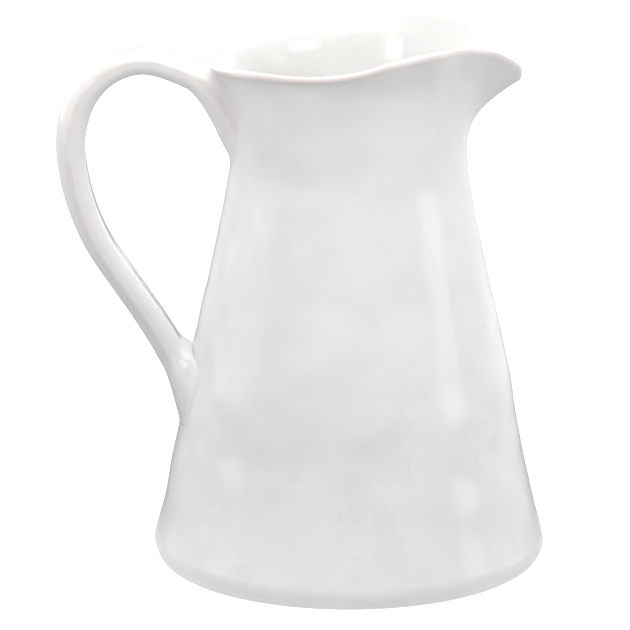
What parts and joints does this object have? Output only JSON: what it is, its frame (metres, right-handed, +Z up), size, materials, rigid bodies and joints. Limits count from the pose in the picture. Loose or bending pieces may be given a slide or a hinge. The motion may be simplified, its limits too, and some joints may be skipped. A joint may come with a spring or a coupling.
{
  "type": "ceramic pitcher",
  "caption": "Glazed ceramic pitcher with a conical body, narrow neck, pulled spout and strap handle, standing on a foot ring.",
  "frame": {"origin": "on the body's axis, at the plane that the foot ring stands on", "axes": "+Z up along the body's axis, +X towards the spout, so the handle is at -X and XZ is the mirror plane"},
  "size_m": [0.2178, 0.177, 0.241],
  "materials": {
    "glaze": "glossy off-white glaze that breaks faintly pink along the rim",
    "handle_glaze": "glossy off-white glaze that breaks faintly pink along the strap's ridges",
    "slip": "slip under the same glossy off-white glaze",
    "bare_clay": "matt unglazed buff clay"
  },
  "bodies": {
    "root": {"vessel_wall": "glaze", "base_disc": "glaze", "foot_ring": "bare_clay", "handle": "handle_glaze", "upper_slip_joint": "slip", "lower_slip_joint": "slip"}
  },
  "joints": []
}
